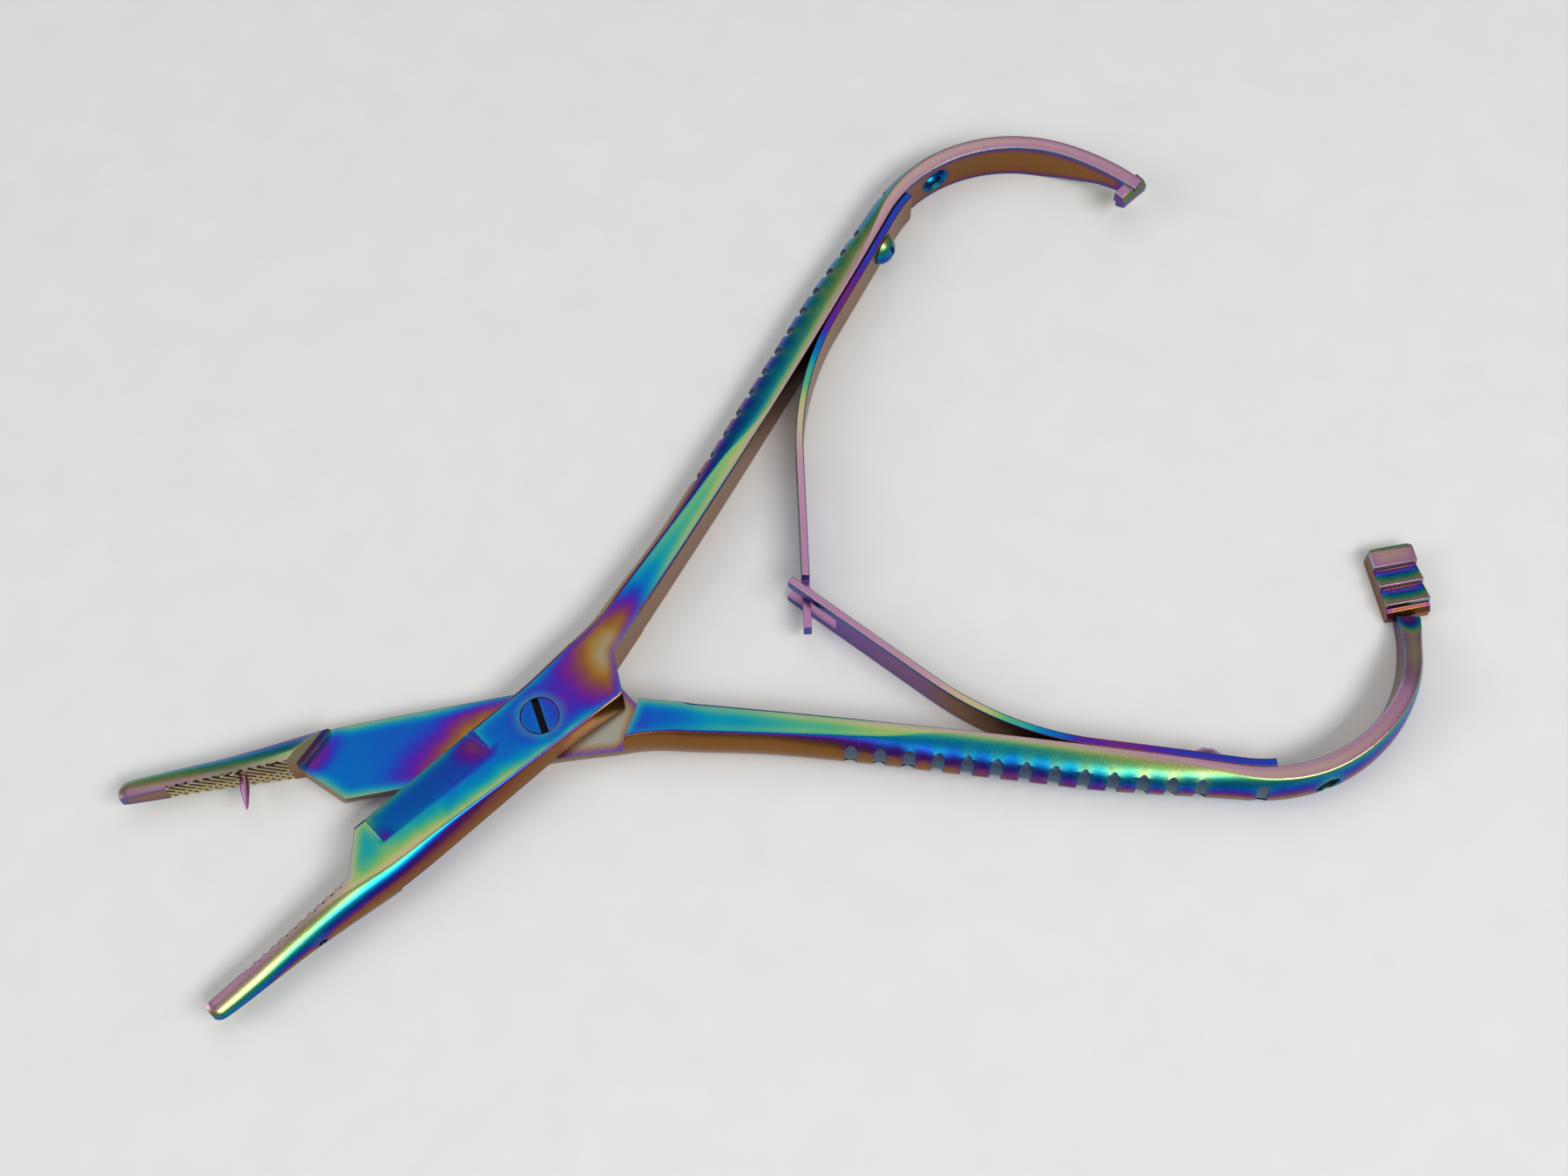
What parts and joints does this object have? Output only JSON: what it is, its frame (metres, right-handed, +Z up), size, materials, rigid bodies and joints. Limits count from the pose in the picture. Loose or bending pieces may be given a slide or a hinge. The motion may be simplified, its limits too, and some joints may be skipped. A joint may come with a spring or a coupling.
{
  "type": "hemostat forceps",
  "caption": "Squeeze-handled locking forceps with a lapped scissor joint, ground blades, serrated jaws, hooked leaf springs and a ratchet.",
  "frame": {"origin": "pivot axis at the plane that the forceps lies on", "axes": "+X along the bisector of the arms towards the handles, +Y towards the handle of arm A, +Z up along the pivot"},
  "size_m": [0.1455, 0.0944, 0.0056],
  "materials": {
    "arm_coat": "satin rainbow interference coat on stainless steel",
    "spring_coat": "satin mauve interference coat on spring steel",
    "screw_coat": "blue interference coat on steel",
    "pin_coat": "pale interference coat on steel"
  },
  "bodies": {
    "arm_b": {"arm_b": "arm_coat", "pivot_screw": "screw_coat", "cleaning_pin": "pin_coat", "spring_screw_b": "screw_coat"},
    "arm_a": {"arm_a": "arm_coat", "spring_screw_a": "screw_coat"},
    "spring_a": {"leaf_spring_a": "spring_coat"},
    "spring_b": {"leaf_spring_b": "spring_coat"}
  },
  "joints": [
    {"name": "arm_pivot", "type": "hinge", "parent": "arm_b", "child": "arm_a", "pos_m": [0, 0, 0.0028], "axis": [0, 0, -1], "range_deg": [0, 32], "stiffness_Nm_per_rad": 0.5, "springref_deg": -5.73},
    {"name": "spring_a_flex", "type": "hinge", "parent": "arm_a", "child": "spring_a", "pos_m": [0.04687, 0.02519, 0.0028], "axis": [0, 0, -1], "range_deg": [0, 22.2], "deforming": ["leaf_spring_a"]},
    {"name": "spring_b_flex", "type": "hinge", "parent": "arm_b", "child": "spring_b", "pos_m": [0.04687, -0.02519, 0.0028], "axis": [0, 0, 1], "range_deg": [0, 22.2], "deforming": ["leaf_spring_b"]}
  ],
  "couplings": [
    {"joint": "spring_a_flex", "follows": "arm_pivot", "ratio": 0.6906},
    {"joint": "spring_b_flex", "follows": "arm_pivot", "ratio": 0.6906}
  ]
}
